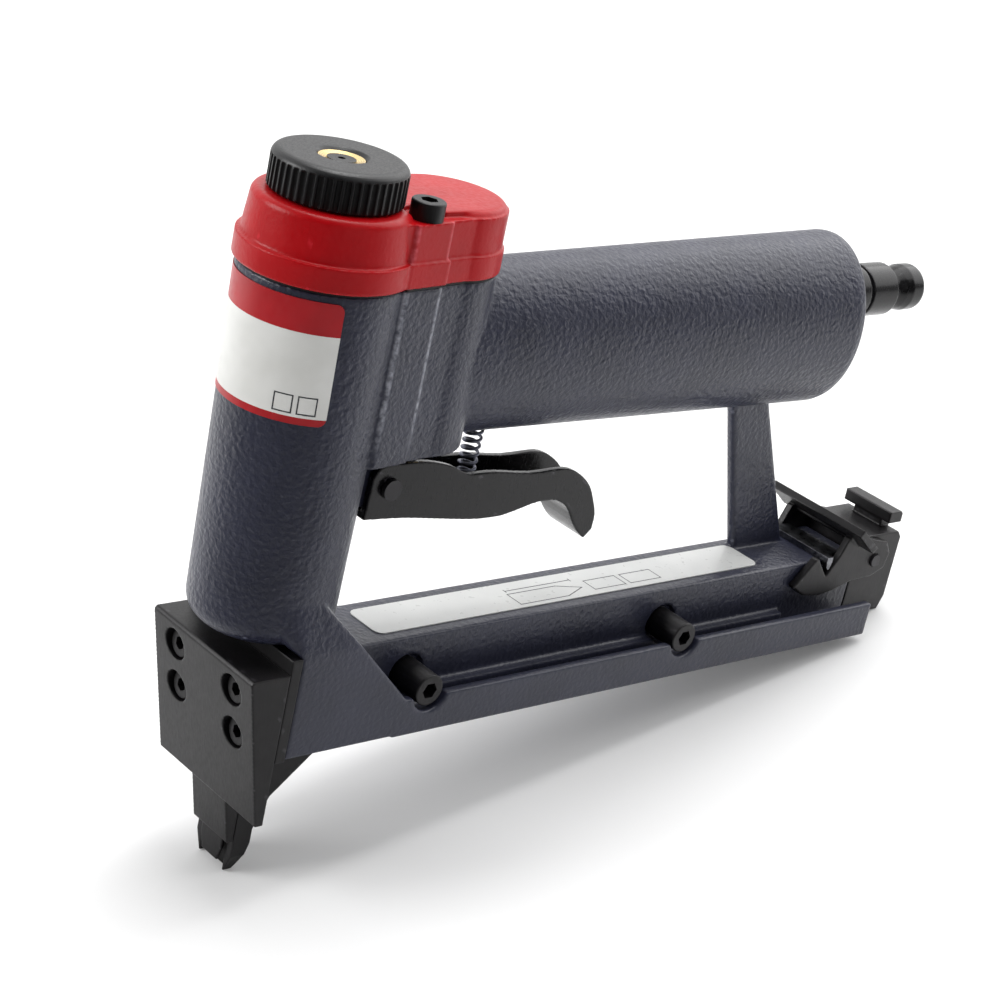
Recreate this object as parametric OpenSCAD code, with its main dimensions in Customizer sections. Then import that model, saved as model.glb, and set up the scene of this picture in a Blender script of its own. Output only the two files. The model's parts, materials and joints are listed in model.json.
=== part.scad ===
// Pneumatic fastener gun: cast body, driver, nose, drawer magazine, trigger valve and air plug.
// Working axes: x runs rearward from the cylinder axis, y is sideways, z is up from the rail underside.
// place() moves them to the part frame, whose origin lies under the middle of the bounding box.

/* [Barrel and neck] */
// wall around the bore at the barrel's foot
barrel_wall_low = 3.7; // [3.2:0.1:4.5]
// wall around the bore under the cap
barrel_wall_top = 5.1; // [4.6:0.1:5.8]
// height of the barrel's flat foot
barrel_z_low = 23; // [21:0.5:25]
// height of the deck that carries the cap
deck_z = 96; // [93:0.5:100]
// radius of the valve neck behind the barrel
neck_r = 12.3; // [11.5:0.1:13]
// centre of the valve neck
neck_x = 27; // [25:0.5:29]
// underside of the valve neck
neck_z_low = 60; // [57:0.5:61]
// half length of each cap screw column along the tool
column_r = 4.9; // [4.5:0.1:5.4]
// how far each column stands out past its screw's axis
column_out = 4; // [3.4:0.1:4.6]
// cap screw axis outside the bore
cap_screw_off = 6.12; // [6:0.02:6.6]
// cap screw's turn from the rear of the barrel
cap_screw_angle = 37.4; // [36:0.1:39]

/* [Handle and post] */
// half width of the handle at its root
handle_ry_front = 11.2; // [10:0.1:12]
// half width of the handle at its end
handle_ry_rear = 15; // [13:0.1:16.5]
// half height of the handle at its root
handle_rz_front = 17.9; // [16:0.1:18.5]
// half height of the handle at its end
handle_rz_rear = 19.9; // [18:0.1:21]
// height of the handle's centre line
handle_z = 77.7; // [75:0.1:79]
// rear end of the handle
handle_x_end = 145.4; // [138:0.2:150]
// front foot of the post on the arm
post_x = 141.7; // [138:0.1:142]
// length of the post's foot along the arm
post_len = 17.6; // [15:0.1:18]
// near face of the post, out from the middle of the arm
post_near = 3.2; // [1:0.1:4]
// far face of the post, out from the middle of the arm
post_far = 8.2; // [7:0.1:8.4]

/* [Magazine] */
// half width over the two side rails
rail_half = 17; // [16:0.1:17]
// height of the side rails
rail_h = 8.3; // [8:0.1:9.5]
// half width of the arm
arm_half = 8.45; // [8.2:0.05:9]
// top of the arm
arm_z = 17.6; // [17:0.1:19]
// rear end of the arm and rails
arm_x_end = 172.6; // [168:0.2:178]
// half width of the track channel in the arm
channel_half = 5.2; // [5:0.1:5.6]
// thickness of each track
track_t = 1; // [0.8:0.1:1.2]
// first track screw along the arm
track_screw_x = 34.4; // [33:0.1:40]
// distance between the two track screws of a side
track_screw_step = 74; // [60:0.2:80]
// height of the track screws
track_screw_z = 9.1; // [8.4:0.1:9.4]
// length of the drawer's end block
drawer_end_len = 15.5; // [14:0.1:18]
// length of the pusher
pusher_len = 12; // [9:0.5:16]

/* [Nose] */
// depth of the nose tip below the rails
tip_depth = 32.3; // [30:0.1:35]
// half width of the nose plate
plate_half = 17; // [16:0.1:17]
// top of the nose plate
plate_z_top = 19.5; // [18.5:0.1:20.5]
// foot of the nose plate below the rails
plate_drop = 13.9; // [12.5:0.1:15]
// front of the nose plate, ahead of the cylinder axis at the height of the rail underside
plate_front = 8.23; // [7.6:0.01:9]
// half width of the nose tongue
tongue_half = 6.1; // [5.8:0.1:6.6]
// height of the upper plate screws
nose_screw_high = 14.2; // [13.4:0.1:15]
// height of the lower plate screws
nose_screw_low = 4.5; // [4:0.1:6]
// plate screws to each side of the middle
nose_screw_y = 9.8; // [9.5:0.1:11]

/* [Driver] */
// bore radius of the cylinder sleeve
sleeve_r = 11; // [10:0.1:11.2]
// stroke of the piston
stroke = 48; // [44:0.5:49]
// thickness of the driver blade
blade_t = 1.2; // [1:0.05:1.4]
// width of the driver blade
blade_w = 5; // [4.4:0.1:5.4]

/* [Trigger and valve] */
// trigger pivot along the tool
trigger_x = 22.6; // [22.3:0.1:23.4]
// trigger pivot height
trigger_z = 50.8; // [50:0.1:51]
// half width of the trigger
trigger_half = 5.4; // [5.2:0.1:6]
// sheet thickness of the trigger
trigger_t = 1.5; // [1.2:0.1:1.6]
// axis of the trigger valve behind the pivot
valve_back = 8.4; // [8:0.1:9]

/* [Latch] */
// latch pivot behind the arm's end
latch_back = 4.9; // [4.4:0.1:5.4]
// latch pivot height
latch_z = 16.3; // [16:0.1:16.6]
// sheet thickness of the latch's cheeks
latch_t = 1.8; // [1.4:0.1:2]
// half width of the thumb plate
thumb_half = 15; // [12:0.2:16]

/* [Cap, knob and plug] */
// height of the cap
cap_h = 13.4; // [12.6:0.1:14.5]
// how far the cap's rim stands out past the barrel
cap_rim_over = 0.9; // [0.6:0.05:0.9]
// radius of the knob
knob_r = 12.9; // [12:0.1:13]
// height of the knob
knob_h = 7.6; // [7:0.1:9]
// grip ribs around the knob
knob_ribs = 48; // [36:1:48]
// radius of the knob's brass core
core_r = 4.5; // [4:0.1:5]
// height of the air plug's axis above the handle's
plug_rise = 5.3; // [4:0.1:7]
// length of the air plug behind the handle
plug_len = 30; // [28:0.2:36]
// radius of the air plug's collar
plug_r = 6.1; // [5.8:0.1:6.5]

/* [Hidden] */
$fn = 64;
black = [0.13, 0.13, 0.14];
brass = [0.8, 0.66, 0.35];
red = [0.72, 0.05, 0.1];
rubber = [0.07, 0.07, 0.07];
slate = [0.28, 0.28, 0.32];
steel = [0.6, 0.6, 0.62];
// clearances: a sliding flat, a running round fit, a pair of seated rounds, a length cut past a face
slide_gap = 0.2;
run_gap = 0.08;
seat_gap = 0.02;
past = 1;
// barrel and cap around the bore
barrel_r_low = sleeve_r + barrel_wall_low;
barrel_r_top = sleeve_r + barrel_wall_top;
cap_rim_r = barrel_r_top + cap_rim_over;
cap_screw_x = (sleeve_r + cap_screw_off) * cos(cap_screw_angle);
cap_screw_y = (sleeve_r + cap_screw_off) * sin(cap_screw_angle);
// height stack of the barrel and cap
gasket_t = 0.5;
cap_seat_drop = 1.2;
cap_z_low = deck_z + gasket_t;
cap_z_top = cap_z_low + cap_h;
knob_z = cap_z_top + slide_gap;
knob_z_top = knob_z + knob_h;
x_shift = (cap_rim_r - arm_x_end - drawer_end_len - slide_gap * 2) / 2;
z_shift = tip_depth;
handle_x = 24;
// cylinder
sleeve_wall = 1.95;
barrel_bore = sleeve_r + sleeve_wall + 0.05;
sleeve_lift = 7;
sleeve_drop = 3;
sleeve_z_low = barrel_z_low + sleeve_lift;
sleeve_z_top = deck_z - sleeve_drop;
sleeve_ring_zs = [sleeve_z_low + 6, sleeve_z_top - 5];
ring_t = 0.5;
piston_h = 7;
piston_drop = 8;
piston_z = sleeve_z_top - piston_drop;
piston_ring_z = piston_z + piston_h / 2;
bumper_top = piston_z - stroke;
blade_seat = 4.5;
slot_x = blade_t / 2 + 0.15;
slot_y = blade_w / 2 + 0.15;
// head valve
head_z = sleeve_z_top + 0.1;
head_seal_t = 0.9;
head_skirt = 3.2;
head_flange_t = 2.5;
head_flange_z = head_z + head_seal_t + head_skirt;
head_rise = 2;
head_room = 4.3;
head_cavity_r = sleeve_r + 3.2;
head_cavity_z = head_flange_z + head_flange_t + head_room;
// nose
joint_x = -slot_x;
guide_plate_t = 2.55;
guide_x = joint_x - guide_plate_t;
plate_lean = 0.22;
screw_seat = 4.2;
plate_screw_head = 3;
plate_screw_r = 1.75;
tongue_drop = 24.6;
// machined seat of the driver guide under the casting, and the guide's heel, knee and ankle
nose_seat = 0.4;
nose_seat_len = 26;
guide_heel = 24;
guide_knee_x = 6.5;
guide_knee_drop = 15.6;
guide_ankle_x = 3.65;
guide_ankle_drop = 22.6;
guide_toe_drop = 25.8;
// half width of the plate's tip, and the open room beside it in the guide
tip_half = 3.6;
tip_room = 0.4;
tongue_step = 0.5;
dowel_y = 4.4;
dowel_z = -10;
dowel_r = 1;
dowel_deep = 4;
// magazine, with the drawer inside the tracks
rail_t = 3;
rail_w = 2.2;
channel_z_low = 1;
channel_z_top = arm_z - 1.2;
track_in = channel_half - track_t;
drawer_half = track_in - slide_gap;
drawer_t = 1;
drawer_z_low = channel_z_low + slide_gap;
drawer_floor = 0.8;
drawer_z_top = channel_z_top - 1.8;
drawer_x = 3.5;
drawer_end_x = arm_x_end + slide_gap * 2;
drawer_x_end = drawer_end_x + drawer_end_len;
rod_z = drawer_z_low + drawer_floor + 2.6;
rod_r = 0.98;
rod_deep = 8;
pusher_x = 8;
pusher_half = drawer_half - drawer_t - slide_gap;
pusher_coil_r = 1.9;
pusher_wire = 0.6;
track_xs = [track_screw_x, track_screw_x + track_screw_step];
track_screw_seat = arm_half - 1.45;
track_screw_r = 2;
track_head = 9.3;
// latch, with its outline measured from the pivot
latch_x = arm_x_end + latch_back;
cheek_in = arm_half + 0.3;
cheek_out = cheek_in + latch_t;
latch_pin_r = 1.5;
latch_side = [[-27.9, -3.6], [-21.9, 2.9], [-20.9, 2.9], [-16.9, -2.1], [-13.5, 2.7], [-11.5, 7.1], [-6, 7.1],
  [-1.5, 5.5], [3.5, 4.3], [5.5, 1.2], [4.7, -2.7], [0.5, -4.5], [-6.5, -4.7], [-12.5, -6.4], [-17.5, -7.1],
  [-23.5, -6.3]];
thumb_side = [[-12.5, 11.3], [-13.8, 9.9], [-7.3, 4.6], [-5.9, 6]];
catch_back = 17.7;
catch_x = latch_x - catch_back;
catch_t = 1.5;
catch_len = 6.2;
catch_finger = 2;
// trigger, with its outline measured from the pivot
trigger_pin_r = 1.6;
trigger_low = [[-5.2, -6.4], [5.4, -7.2], [16.7, -8.8], [24.4, -9.8], [31.1, -10], [35.9, -9.2], [40.3, -8.2],
  [44.1, -7.9], [47.8, -8.5], [51, -10.6], [53.4, -14], [55.6, -16.6], [57.8, -18.4]];
trigger_top = [[59.8, -16.4], [59.7, -12.8], [58, -8.9], [56.3, -6], [53.7, -3.6], [50.2, -1.6], [46.4, -0.9],
  [38, -0.9], [28.1, 0.4], [23.4, 0.6], [20, 0.9], [15.4, 3.1], [9.4, 4.6], [4.2, 5], [-2.4, 5], [-4.6, 2.8]];
lug_half = trigger_half - trigger_t - 0.3;
valve_x = trigger_x + valve_back;
valve_r = 5;
valve_len = 17.5;
valve_throat = 8.5;
valve_depth = 20.5;
valve_top = neck_z_low + valve_len;
valve_chamber = neck_z_low + valve_throat;
valve_chamber_r = 3.4;
valve_roof = neck_z_low + valve_depth;
valve_ring_zs = [neck_z_low + 3, valve_top - 2];
stem_r = 1.6;
stem_head = 2.9;
stem_foot = trigger_z - 7.5 + trigger_t + 0.4;
return_x = trigger_x + 24.4;
return_foot = trigger_z - 9.8 + trigger_t + 0.7;
return_roof = handle_under(return_x) + 2.9;
return_r = 1.75;
return_wire = 0.7;
return_turns = 12;
// handle
air_room_r = 9;
plug_z = handle_z + plug_rise;
plug_thread_r = 4.98;
plug_thread = 14;
plug_bore_r = 2.6;

// underside of the handle at a place along it
function handle_under(x) = handle_z - handle_rz_front - (handle_rz_rear - handle_rz_front)
  * (x - handle_x) / (handle_x_end - handle_x);
// front face of the nose plate at a height
function plate_face(z) = -plate_front - plate_lean * z;
// part of a circle, as points
function arc(cx, cy, r, a0, a1, n = 6) = [for (i = [0:n]) let (a = a0 + (a1 - a0) * i / n)
  [cx + r * cos(a), cy + r * sin(a)]];
// a smooth path through points, each span cut in n
function eased_path(p, n = 3) = concat([for (i = [0:len(p) - 2]) for (k = [0:n - 1])
  let (a = p[max(i - 1, 0)], b = p[i], c = p[i + 1], d = p[min(i + 2, len(p) - 1)], t = k / n)
  b + t * (c - a) / 2 + t * t * (a - 2.5 * b + 2 * c - 0.5 * d) + t * t * t * (1.5 * (b - c) + 0.5 * (d - a))],
  [p[len(p) - 1]]);
function moved(points, x, z) = [for (p = points) p + [x, z]];

// Shared shapes

module place() {
  translate([x_shift, 0, z_shift]) children();
}

module side_plate(points, y0, y1) {
  translate([0, y1, 0]) rotate([90, 0, 0]) linear_extrude(y1 - y0) polygon(points);
}

// one plate on each side, from y0 to y1 out from the middle
module both_sides(points, y0, y1) {
  side_plate(points, y0, y1);
  side_plate(points, -y1, -y0);
}

module box(x0, x1, y0, y1, z0, z1) {
  translate([x0, y0, z0]) cube([x1 - x0, y1 - y0, z1 - z0]);
}

module bar_x(x0, x1, y, z, r) {
  translate([x0, y, z]) rotate([0, 90, 0]) cylinder(h = x1 - x0, r = r);
}

module bar_y(y0, y1, x, z, r) {
  translate([x, y1, z]) rotate([90, 0, 0]) cylinder(h = y1 - y0, r = r);
}

module bar_z(z0, z1, x, y, r) {
  translate([x, y, z0]) cylinder(h = z1 - z0, r = r);
}

module ring_z(z, x, major, minor) {
  translate([x, 0, z]) rotate_extrude() translate([major, 0]) circle(minor, $fn = 24);
}

// a square groove cut into the outside of a shaft of radius r
module groove_z(z, x, r, depth, width) {
  translate([x, 0, z]) rotate_extrude() translate([r - depth, -width / 2]) square([depth + past, width]);
}

module oval_slice(x, z, ry, rz) {
  translate([x, 0, z]) rotate([0, 90, 0]) linear_extrude(0.02) scale([rz, ry]) circle(1, $fn = 72);
}

// a socket head screw standing on the origin, head up, shank down
module socket_screw(head_r, head_h, shank_r, shank_l, hex) {
  edge = 0.4;
  difference() {
    union() {
      rotate_extrude() polygon(concat([[0, 0], [head_r, 0]], arc(head_r - edge, head_h - edge, edge, 0, 90, 4),
        [[0, head_h]]));
      translate([0, 0, -shank_l]) cylinder(h = shank_l + edge, r = shank_r);
    }
    translate([0, 0, head_h * 0.45]) cylinder(h = head_h, r = hex / 2 / cos(30), $fn = 6);
  }
}

// Springs: one unbroken round wire, straight for one wire thickness at each end

function coil_dir(a, r, pitch) = let (v = [-sin(a) * r, cos(a) * r, pitch / (2 * PI)]) v / norm(v);
function coil_path(r, span, turns, wire) = let (n = round(turns * 8), pitch = span / turns, end = 360 * turns)
  concat([[r, 0, 0] - wire * coil_dir(0, r, pitch)],
    [for (i = [0:n]) let (a = end * i / n) [r * cos(a), r * sin(a), span * i / n]],
    [[r * cos(end), r * sin(end), span] + wire * coil_dir(end, r, pitch)]);
function coil_gap(p, wire) = min([for (i = [0:len(p) - 1]) for (j = [i + 5:1:len(p) - 1]) norm(p[i] - p[j])]) - wire;

module coil(r, span, turns, wire, label) {
  sides = 6;
  n = round(turns * 8);
  pitch = span / turns;
  path = coil_path(r, span, turns, wire);
  angles = concat([0], [for (i = [0:n]) 360 * turns * i / n], [360 * turns]);
  points = [for (k = [0:len(path) - 1]) let (a = angles[k], d = coil_dir(a, r, pitch),
    out = [cos(a), sin(a), 0], up = cross(d, out)) for (s = [0:sides - 1]) let (w = 360 * s / sides)
    path[k] + wire / 2 * (cos(w) * out + sin(w) * up)];
  last = (len(path) - 1) * sides;
  faces = concat(
    [for (k = [0:len(path) - 2]) for (s = [0:sides - 1]) let (t = (s + 1) % sides)
      [k * sides + s, (k + 1) * sides + s, (k + 1) * sides + t]],
    [for (k = [0:len(path) - 2]) for (s = [0:sides - 1]) let (t = (s + 1) % sides)
      [k * sides + s, (k + 1) * sides + t, k * sides + t]],
    [for (s = [1:sides - 2]) [0, s, s + 1]],
    [for (s = [1:sides - 2]) [last, last + s + 1, last + s]]);
  echo(str(label, " least gap ", coil_gap(path, wire)));
  polyhedron(points, faces);
}

// Body casting

// plan of the neck behind the barrel: valve lobe, screw columns with rounded edges and the web between
module neck_plan(grow) {
  edge = 0.6;
  front_x = cap_screw_x - column_r - grow + edge;
  rear_x = cap_screw_x + column_r + grow - edge;
  front_y = cap_screw_y + column_out + grow - edge;
  rear_y = front_y - 1;
  translate([neck_x, 0]) circle(neck_r + grow);
  polygon(concat(arc(rear_x, -rear_y, edge, -85, 0, 4), arc(rear_x, rear_y, edge, 0, 85, 4),
    arc(front_x, front_y, edge, 85, 180, 4), arc(front_x, -front_y, edge, 180, 275, 4)));
  polygon([for (p = [[0, -1], [neck_x, -1], [neck_x, 1], [0, 1]])
    [p[0], p[1] * (grow + (p[0] == 0 ? barrel_r_top - 1.5 : neck_r - 0.4))]]);
}

module barrel() {
  edge = 5;
  side_z = barrel_z_low + edge;
  side_r = barrel_r_low + (barrel_r_top - barrel_r_low) * edge / (deck_z - barrel_z_low);
  rotate_extrude() polygon(concat([[0, barrel_z_low]], arc(side_r - edge, side_z, edge, -90, 0, 8),
    [[barrel_r_top, deck_z], [0, deck_z]]));
}

module handle() {
  // how far back from the end, and how much smaller, each slice of the rounded end is
  round_end = [[3.4, 0], [1.7, 0.3], [0.6, 1.05], [0.02, 2.4]];
  hull() {
    oval_slice(handle_x, handle_z, handle_ry_front, handle_rz_front);
    for (e = round_end) oval_slice(handle_x_end - e[0], handle_z, handle_ry_rear - e[1], handle_rz_rear - e[1]);
  }
}

// level slice of the post, narrow in front and wide behind
module post_slice(x0, x1, z) {
  front_r = 1;
  rear_r = 1.8;
  translate([0, 0, z]) linear_extrude(0.02) union() {
    for (y = [post_near + front_r, post_near + front_r + 0.8])
      translate([x0 + front_r, y]) circle(front_r, $fn = 32);
    for (y = [post_near + rear_r, post_far - rear_r])
      translate([x1 - rear_r, y]) circle(rear_r, $fn = 32);
  }
}

module post() {
  lean = 16.9;
  thin = 6.2;
  hull() {
    post_slice(post_x - lean, post_x - lean + post_len - thin, handle_under(post_x - lean) + 8);
    post_slice(post_x, post_x + post_len, arm_z - 1);
  }
}

module front_block() {
  web = 14.35;
  side_plate([[joint_x, 0], [joint_x, barrel_z_low], [web - 0.75, barrel_z_low],
    [web - 0.75 + barrel_z_low - rail_h, rail_h], [web - 0.75 + barrel_z_low - rail_h, 0]], -rail_half, rail_half);
  // the block's flanks flow up into the barrel, and the rear slope cuts them off
  intersection() {
    hull() {
      box(joint_x, web - 0.75, -rail_half, rail_half, barrel_z_low - 0.5, barrel_z_low);
      bar_z(barrel_z_low + 10, barrel_z_low + 10.02, 0, 0, barrel_r_low + 0.1);
    }
    side_plate([[-20, 0], [web - 0.75 + barrel_z_low, 0], [-20, web + 19.25 + barrel_z_low]],
      -rail_half - past, rail_half + past);
  }
}

module arm() {
  rail_x = 20;
  ledge = [2.2, 6.5];
  box(0, arm_x_end, -arm_half, arm_half, 0, arm_z);
  box(rail_x, arm_x_end, -rail_half, rail_half, 0, rail_t);
  box(rail_x, arm_x_end - 24.6, -arm_half - ledge[0], arm_half + ledge[0], 0, ledge[1]);
  both_sides([[rail_x, 0], [arm_x_end, 0], [arm_x_end, rail_h], [rail_x, rail_h]], rail_half - rail_w, rail_half);
}

module trigger_lug() {
  top = neck_z_low - trigger_z + 1;
  side_plate(moved([[-10.6, -4.4], [2, -4.4], [4, -1.8], [4, top], [-10.6, top]], trigger_x, trigger_z),
    -lug_half, lug_half);
}

module body_casting() {
  color(slate) difference() {
    union() {
      barrel();
      translate([0, 0, neck_z_low]) linear_extrude(deck_z - neck_z_low) neck_plan(0);
      handle();
      post();
      front_block();
      arm();
      trigger_lug();
    }
    bar_z(sleeve_z_low, deck_z + past, 0, 0, barrel_bore);
    box(joint_x - past, nose_seat_len, -rail_half - past, rail_half + past, -past, nose_seat);
    box(joint_x - past, slot_x, -slot_y, slot_y, -past, barrel_z_low);
    box(-slot_x, slot_x, -slot_y, slot_y, barrel_z_low - past, sleeve_z_low + past);
    box(0, arm_x_end + past, -channel_half, channel_half, channel_z_low, channel_z_top);
    for (x = track_xs) {
      for (s = [-1, 1]) mirror([0, s > 0 ? 0 : 1, 0])
        bar_y(track_screw_seat, rail_half + past, x, track_screw_z, 4.4);
      bar_y(-arm_half, arm_half, x, track_screw_z, track_screw_r);
    }
    for (s = [-1, 1]) bar_z(deck_z - 16, deck_z + past, cap_screw_x, s * cap_screw_y, 2);
    for (z = [nose_screw_high, nose_screw_low]) for (s = [-1, 1])
      bar_x(joint_x - past, 10, s * nose_screw_y, z, plate_screw_r);
    bar_y(-lug_half - past, lug_half + past, trigger_x, trigger_z, trigger_pin_r);
    bar_z(neck_z_low - past, valve_roof, valve_x, 0, valve_r);
    bar_z(return_roof - 8, return_roof, return_x, 0, return_r + 1);
    bar_x(valve_x, handle_x + 38, 0, valve_top - 3, 2.5);
    bar_x(handle_x + 36, handle_x_end - 18, 0, handle_z + 0.8, air_room_r);
    bar_x(handle_x_end - 24, handle_x_end + past, 0, plug_z, plug_thread_r + seat_gap);
  }
}

// Cap, knob and head valve

// a round boss of the cap: straight flank leaning in, with a rounded top edge
module cap_boss(x, r_low, r_top) {
  edge = 1.6;
  translate([x, 0, 0]) rotate_extrude() polygon(concat([[0, cap_z_low], [r_low, cap_z_low]],
    arc(r_top - edge, cap_z_top - edge, edge, 0, 90), [[0, cap_z_top]]));
}

module cylinder_cap() {
  rim_h = 4.8;
  seat_r = 4.3;
  seat_z = cap_z_top - cap_seat_drop;
  color(red) difference() {
    union() {
      translate([0, 0, cap_z_low]) linear_extrude(rim_h) union() {
        circle(cap_rim_r);
        neck_plan(0.5);
      }
      cap_boss(0, cap_rim_r - 0.4, cap_rim_r - 1.6);
      cap_boss(neck_x, neck_r + 0.3, neck_r - 0.4);
      side_plate([[0, cap_z_low], [neck_x, cap_z_low], [neck_x, cap_z_top], [0, cap_z_top]],
        1.6 - neck_r, neck_r - 1.6);
      translate([0, 0, cap_z_low]) linear_extrude(seat_z - cap_z_low) neck_plan(0);
    }
    bar_z(cap_z_low - past, head_cavity_z, 0, 0, head_cavity_r);
    bar_z(head_cavity_z - past, cap_z_top + past, 0, 0, core_r + 1.4);
    for (s = [-1, 1]) {
      bar_z(cap_z_low - past, cap_z_top + past, cap_screw_x, s * cap_screw_y, 2.1);
      bar_z(seat_z, cap_z_top + past, cap_screw_x, s * cap_screw_y, seat_r);
    }
    both_sides([[cap_screw_x - seat_r, seat_z], [cap_screw_x + seat_r, seat_z],
      [cap_screw_x + seat_r, cap_z_top + past], [cap_screw_x - seat_r, cap_z_top + past]], cap_screw_y, cap_rim_r);
  }
}

module cap_gasket() {
  color(rubber) translate([0, 0, deck_z]) linear_extrude(gasket_t) difference() {
    union() {
      circle(barrel_r_top);
      neck_plan(0);
    }
    circle(head_cavity_r);
    for (s = [-1, 1]) translate([cap_screw_x, s * cap_screw_y]) circle(2.1);
  }
}

module cap_screw(s) {
  color(black) translate([cap_screw_x, s * cap_screw_y, cap_z_top - cap_seat_drop])
    socket_screw(3.3, 3.6, 2 - seat_gap, cap_h + 10, 3);
}

module cap_screw_left() { cap_screw(-1); }
module cap_screw_right() { cap_screw(1); }

module power_knob() {
  edge = 1.8;
  color(black) translate([0, 0, knob_z]) difference() {
    rotate_extrude() polygon(concat([[core_r + seat_gap, 0], [knob_r - 0.4, 0], [knob_r, 0.4]],
      arc(knob_r - edge, knob_h - edge, edge, 0, 90), [[core_r + 0.7, knob_h], [core_r + seat_gap, knob_h - 0.6]]));
    for (i = [0:knob_ribs - 1]) rotate(360 * i / knob_ribs) translate([knob_r, 0, -past])
      cylinder(h = knob_h - 0.4, r = 0.58, $fn = 16);
  }
}

module knob_core() {
  top = knob_z_top - 1.2;
  hole_r = 1.2;
  seat_r = 2.6;
  color(brass) difference() {
    bar_z(head_flange_z + head_flange_t + head_rise + 0.3, top, 0, 0, core_r);
    bar_z(0, knob_z_top, 0, 0, hole_r);
    bar_z(top - 1.6, knob_z_top, 0, 0, seat_r);
  }
}

module adjuster_ring() { color(rubber) ring_z(head_cavity_z + 2.6, 0, core_r + 0.7, 0.66); }

module head_valve() {
  color(steel) difference() {
    union() {
      bar_z(head_z + head_seal_t, head_flange_z, 0, 0, sleeve_r + 1.6);
      bar_z(head_flange_z, head_flange_z + head_flange_t, 0, 0, head_cavity_r - run_gap);
    }
    bar_z(head_z, head_z + 2.4, 0, 0, sleeve_r - 2.4);
    bar_z(head_z, head_cavity_z, 0, 0, 2);
  }
}

module head_valve_seal() {
  color(rubber) difference() {
    bar_z(head_z, head_z + head_seal_t, 0, 0, sleeve_r + 1.4);
    bar_z(head_z - past, head_z + head_seal_t + past, 0, 0, sleeve_r - 2);
  }
}

module head_valve_spring() {
  wire = 0.8;
  color(steel) translate([0, 0, head_flange_z + head_flange_t + 0.6])
    coil(sleeve_r - 2, head_room - 1.2, 2, wire, "head_valve_spring");
}

// Cylinder and driver

module cylinder_sleeve() {
  color(steel) difference() {
    bar_z(sleeve_z_low, sleeve_z_top, 0, 0, sleeve_r + sleeve_wall);
    bar_z(sleeve_z_low - past, sleeve_z_top + past, 0, 0, sleeve_r);
    for (z = sleeve_ring_zs) groove_z(z, 0, sleeve_r + sleeve_wall, 2 * ring_t, 1.4);
  }
}

module sleeve_ring(i) {
  color(rubber) ring_z(sleeve_ring_zs[i], 0, barrel_bore - ring_t - 0.03, ring_t);
}

module sleeve_ring_upper() { sleeve_ring(1); }
module sleeve_ring_lower() { sleeve_ring(0); }

module bumper() {
  color(rubber) difference() {
    bar_z(sleeve_z_low, bumper_top - 0.1, 0, 0, sleeve_r - slide_gap);
    box(-slot_x - slide_gap, slot_x + slide_gap, -slot_y - slide_gap, slot_y + slide_gap,
      sleeve_z_low - past, bumper_top);
  }
}

module piston() {
  color(steel) difference() {
    bar_z(piston_z, piston_z + piston_h, 0, 0, sleeve_r - run_gap);
    groove_z(piston_ring_z, 0, sleeve_r - run_gap, 1.22, 1.5);
    box(-blade_t / 2, blade_t / 2, -blade_w / 2, blade_w / 2, piston_z - past, piston_z + blade_seat);
  }
}

module piston_ring() { color(rubber) ring_z(piston_ring_z, 0, sleeve_r - 0.66, 0.6); }

module driver_blade() {
  color(steel) box(-blade_t / 2, blade_t / 2, -blade_w / 2, blade_w / 2,
    stroke - tip_depth + 1.4, piston_z + blade_seat);
}

// Nose

module nose_plate() {
  // the tip below the tongue closes the driver's channel: half widths, and thickness at top and foot
  tip_low = 2.6;
  tip_t = [1, 0.8];
  low = 1.6 - tip_depth;
  color(black) difference() {
    union() {
      side_plate([[plate_face(plate_z_top) + 0.7, plate_z_top], [plate_face(plate_z_top - 0.7), plate_z_top - 0.7],
        [plate_face(-plate_drop), -plate_drop], [guide_x, -plate_drop], [guide_x, plate_z_top]],
        -plate_half, plate_half);
      side_plate([[guide_x - 1, 0], [joint_x, 0], [joint_x, -tongue_drop],
        [plate_face(-tongue_drop) + tongue_step, -tongue_drop], [plate_face(-plate_drop) + tongue_step, -plate_drop],
        [guide_x - 1, 2 - plate_drop]], -tongue_half, tongue_half);
      intersection() {
        side_plate([[joint_x, 1 - tongue_drop], [joint_x, low], [joint_x - tip_t[1], low],
          [joint_x - tip_t[0], 1 - tongue_drop]], -tip_half, tip_half);
        translate([guide_x, 0, 0]) rotate([90, 0, 90]) linear_extrude(guide_plate_t)
          polygon([[-tip_half, 0], [-tip_half, 3.4 + low], [-tip_low, low], [tip_low, low], [tip_half, 3.4 + low],
            [tip_half, 0]]);
      }
    }
    for (z = [nose_screw_high, nose_screw_low]) for (s = [-1, 1]) {
      bar_x(plate_face(plate_z_top) - past, plate_face(z) + screw_seat, s * nose_screw_y, z, plate_screw_head + 0.3);
      bar_x(plate_face(plate_z_top), 0, s * nose_screw_y, z, plate_screw_r + 0.05);
    }
    for (s = [-1, 1]) bar_x(guide_x + 0.1, 0, s * dowel_y, dowel_z, dowel_r);
  }
}

module guide_plate() {
  color(black) difference() {
    box(guide_x, joint_x, -plate_half, plate_half, 0, barrel_z_low - 0.4);
    for (z = [nose_screw_high, nose_screw_low]) for (s = [-1, 1])
      bar_x(guide_x - past, 0, s * nose_screw_y, z, plate_screw_r + 0.05);
  }
}

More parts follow.
